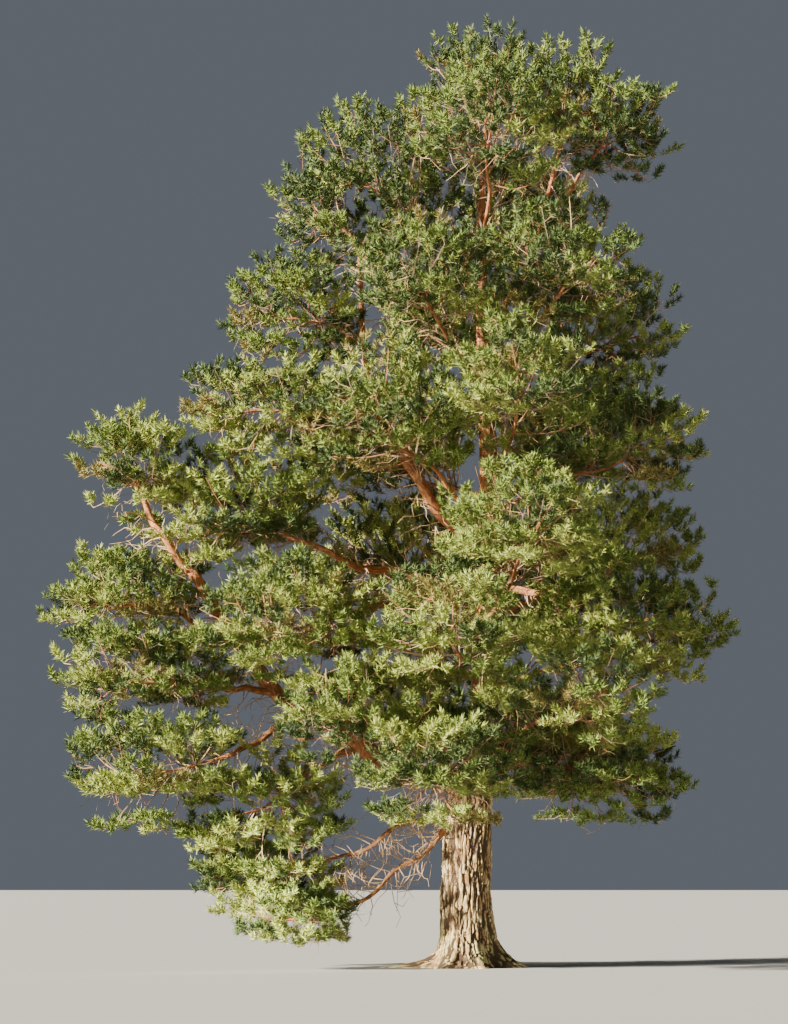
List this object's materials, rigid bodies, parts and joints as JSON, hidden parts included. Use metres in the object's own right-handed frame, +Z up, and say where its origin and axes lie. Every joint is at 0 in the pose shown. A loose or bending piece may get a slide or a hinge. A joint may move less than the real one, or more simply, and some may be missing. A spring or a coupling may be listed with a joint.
{
  "type": "scots pine tree",
  "caption": "Old open-grown Scots pine: thick trunk with flared surface roots, crooked orange boughs reaching far out on one side, and flat dense pads of needles.",
  "frame": {"origin": "middle of the trunk's flat cut at ground level", "axes": "+Z up, +X east (the right of the picture), -X west along the longest boughs, -Y towards the viewer of the picture"},
  "size_m": [13.5242, 9.337, 19.2374],
  "materials": {
    "old_bark": "thick grey-buff plates of bark with deep upright furrows",
    "young_bark": "thin papery orange-brown bark",
    "needles": "tufts of stiff yellow-green to dark green needles on brown twigs"
  },
  "bodies": {
    "root": {"trunk": "old_bark", "low_west_bough": "young_bark", "low_rear_bough": "young_bark", "west_bough": "young_bark", "west_leader": "young_bark", "west_arm": "young_bark", "west_branch": "young_bark", "middle_branch": "young_bark", "hanging_branch": "young_bark", "mid_west_bough": "young_bark", "upper_west_bough": "young_bark", "orange_bough": "young_bark", "orange_leader": "young_bark", "orange_arm": "young_bark", "leader_arm": "young_bark", "south_bough": "young_bark", "low_east_bough": "young_bark", "east_crook": "young_bark", "east_leader": "young_bark", "east_leader_arm": "young_bark", "low_west_bough_needles": "needles", "low_rear_bough_needles": "needles", "west_leader_needles": "needles", "west_arm_needles": "needles", "west_branch_needles": "needles", "middle_branch_needles": "needles", "hanging_branch_needles": "needles", "mid_west_bough_needles": "needles", "upper_west_bough_needles": "needles", "orange_leader_needles": "needles", "orange_arm_needles": "needles", "leader_arm_needles": "needles", "south_bough_needles": "needles", "low_east_bough_needles": "needles", "east_crook_needles": "needles", "east_leader_needles": "needles", "east_leader_arm_needles": "needles", "lowest_needles_1": "needles", "lowest_needles_2": "needles", "lowest_needles_3": "needles", "lowest_needles_4": "needles", "low_needles_1": "needles", "low_needles_2": "needles", "middle_needles_1": "needles", "middle_needles_2": "needles", "middle_needles_3": "needles", "middle_needles_4": "needles", "upper_needles_1": "needles", "upper_needles_2": "needles", "upper_needles_3": "needles", "upper_needles_4": "needles", "upper_needles_5": "needles", "high_needles_1": "needles", "high_needles_2": "needles", "high_needles_3": "needles", "high_needles_4": "needles", "topmost_needles_1": "needles", "topmost_needles_2": "needles", "topmost_needles_3": "needles", "crown_tip_needles": "needles"}
  },
  "joints": []
}
